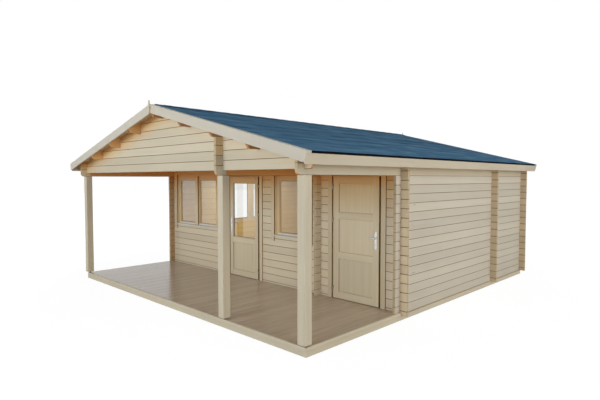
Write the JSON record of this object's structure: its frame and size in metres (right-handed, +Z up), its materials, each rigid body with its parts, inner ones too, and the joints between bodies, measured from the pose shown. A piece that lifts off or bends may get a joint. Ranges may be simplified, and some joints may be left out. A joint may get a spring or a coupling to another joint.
{
  "type": "log cabin",
  "caption": "Log cabin of interlocking planed logs under a low gable roof, with a covered veranda on posts, a glazed door, wide windows and a panelled store room door.",
  "frame": {"origin": "on the ground under the middle of the roof", "axes": "+Z up, +Y from the veranda to the rear wall, +X to the right seen from the veranda"},
  "size_m": [6.6958, 7.238, 3.2635],
  "materials": {
    "log_wood": "planed bare spruce logs",
    "beam_wood": "planed bare spruce posts and beams",
    "trim_wood": "planed bare spruce boards",
    "joinery_wood": "sanded pale pine joinery",
    "roof_board_wood": "tongue and groove roof boards",
    "floor_wood": "tongue and groove floor boards",
    "deck_wood": "brown stained deck boards, satin",
    "felt": "blue-grey mineral shingle felt",
    "pane_glass": "clear window glass",
    "steel": "satin steel",
    "zinc": "galvanised steel",
    "sill_metal": "light grey coated metal"
  },
  "bodies": {
    "cabin": {"base_frame": "beam_wood", "floor_joists": "floor_wood", "terrace_floor": "deck_wood", "room_floor": "floor_wood", "right_wall": "log_wood", "right_plate": "log_wood", "left_wall": "log_wood", "left_plate": "log_wood", "rear_wall": "log_wood", "front_wall_left": "log_wood", "front_wall_middle": "log_wood", "front_wall_store": "log_wood", "front_gable": "log_wood", "partition_wall": "log_wood", "middle_beam": "log_wood", "partition_top": "log_wood", "cross_wall": "log_wood", "veranda_gable": "log_wood", "gable_tie": "log_wood", "log_ends": "log_wood", "porch_posts": "beam_wood", "post_feet": "zinc", "purlins": "beam_wood", "roof_boards": "roof_board_wood", "roof_felt": "felt", "fascias": "trim_wood", "barge_boards": "trim_wood", "finials": "trim_wood", "front_double_window": "joinery_wood", "front_single_window": "joinery_wood", "side_window": "joinery_wood", "window_panes": "pane_glass", "window_sills": "sill_metal", "glazed_door_frame": "joinery_wood", "store_door_frame": "joinery_wood", "frame_hinges": "steel"},
    "glazed_door": {"glazed_door_leaf": "joinery_wood", "glazed_door_pane": "pane_glass", "glazed_door_hinges": "steel", "glazed_door_plates": "steel"},
    "glazed_lever": {"glazed_door_lever": "steel"},
    "store_door": {"store_door_leaf": "joinery_wood", "store_door_hinges": "steel", "store_door_plates": "steel"},
    "store_lever": {"store_door_lever": "steel"}
  },
  "joints": [
    {"name": "glazed_door_hinge", "type": "hinge", "parent": "cabin", "child": "glazed_door", "pos_m": [-0.015, -1.404, 1.1], "axis": [0, 0, 1], "range_deg": [0, 120]},
    {"name": "glazed_lever_turn", "type": "hinge", "parent": "glazed_door", "child": "glazed_lever", "pos_m": [-0.825, -1.395, 1.16], "axis": [0, 1, 0], "range_deg": [0, 40], "stiffness_Nm_per_rad": 3, "springref_deg": -20.05},
    {"name": "store_door_hinge", "type": "hinge", "parent": "cabin", "child": "store_door", "pos_m": [1.8555, -1.404, 1.1], "axis": [0, 0, -1], "range_deg": [0, 120]},
    {"name": "store_lever_turn", "type": "hinge", "parent": "store_door", "child": "store_lever", "pos_m": [2.6955, -1.395, 1.16], "axis": [0, -1, 0], "range_deg": [0, 40], "stiffness_Nm_per_rad": 3, "springref_deg": -20.05}
  ]
}
